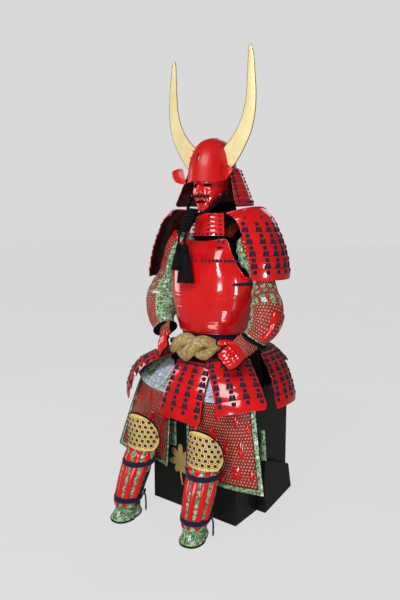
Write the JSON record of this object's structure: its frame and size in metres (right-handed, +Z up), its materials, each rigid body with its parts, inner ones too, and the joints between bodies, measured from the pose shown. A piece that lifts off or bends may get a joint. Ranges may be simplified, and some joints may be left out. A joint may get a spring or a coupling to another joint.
{
  "type": "samurai armour on its chest",
  "caption": "Red laced samurai armour with a horned helmet and moustached face mask, set up hollow in a seated pose on its black storage chest, for display.",
  "frame": {"origin": "centre of the chest's underside, on the floor it stands on", "axes": "+Z up; the armour faces -Y; +X is the wearer's left"},
  "size_m": [0.7693, 0.7914, 1.8746],
  "materials": {
    "red_lacquer": "glossy red lacquer over iron and rawhide plates",
    "black_lacquer": "satin black lacquered wood",
    "gilded_wood": "pale satin gilding over carved wood",
    "dark_hair": "dark hair bristles",
    "navy_cloth": "dark navy cotton tape",
    "navy_lacing": "dark navy silk lacing",
    "belt_brocade": "gold brocade with a cream pattern",
    "green_brocade": "green brocade with pale flowers",
    "black_cloth": "black cotton piping and lining",
    "lilac_brocade": "pale lilac flowered cloth",
    "red_mail": "red lacquered mail net over cloth",
    "gold_quilting": "gold hexagon quilting with navy studs",
    "sole_leather": "black leather",
    "black_silk": "black silk cord",
    "gold_leaf": "painted gold motif",
    "dark_iron": "dark inner lacquer"
  },
  "bodies": {
    "root": {"chest_body": "black_lacquer", "chest_lid": "black_lacquer", "chest_foot_left": "black_lacquer", "chest_foot_right": "black_lacquer", "helmet_bowl": "red_lacquer", "horn_left": "gilded_wood", "horn_right": "gilded_wood", "turn_back_left": "red_lacquer", "turn_back_right": "red_lacquer", "neck_guard": "red_lacquer", "face_mask": "red_lacquer", "moustache": "dark_hair", "throat_guard": "red_lacquer", "cuirass_front": "red_lacquer", "cuirass_back": "red_lacquer", "shoulder_strap_left": "red_lacquer", "shoulder_strap_right": "red_lacquer", "waist_band": "navy_cloth", "belt_wrap": "belt_brocade", "belt_knot": "belt_brocade", "shoulder_guard_left": "red_lacquer", "shoulder_guard_right": "red_lacquer", "shoulder_crown_left": "red_lacquer", "shoulder_crown_right": "red_lacquer", "skirt_front": "red_lacquer", "skirt_front_left": "red_lacquer", "skirt_front_right": "red_lacquer", "skirt_left": "red_lacquer", "skirt_right": "red_lacquer", "skirt_back_left": "red_lacquer", "skirt_back_right": "red_lacquer", "sleeve_left": "green_brocade", "sleeve_right": "green_brocade", "wrist_band_left": "black_cloth", "wrist_band_right": "black_cloth", "hand_guard_left": "red_lacquer", "hand_guard_right": "red_lacquer", "thigh_apron": "lilac_brocade", "thigh_panel_left": "red_mail", "thigh_panel_right": "red_mail", "shin_guard_left": "green_brocade", "shin_guard_right": "green_brocade", "knee_guard_left": "gold_quilting", "knee_guard_right": "gold_quilting", "shin_tie_upper_left": "navy_cloth", "shin_tie_upper_right": "navy_cloth", "shin_tie_lower_left": "navy_cloth", "shin_tie_lower_right": "navy_cloth", "shoe_left": "green_brocade", "shoe_right": "green_brocade", "sole_left": "sole_leather", "sole_right": "sole_leather", "chin_cord": "black_silk", "chin_knot": "black_silk", "tassel_cord_long": "black_silk", "tassel_long": "black_silk", "tassel_cord_short": "black_silk", "tassel_short": "black_silk", "tie_end_left": "navy_cloth", "tie_end_right": "navy_cloth"}
  },
  "joints": []
}
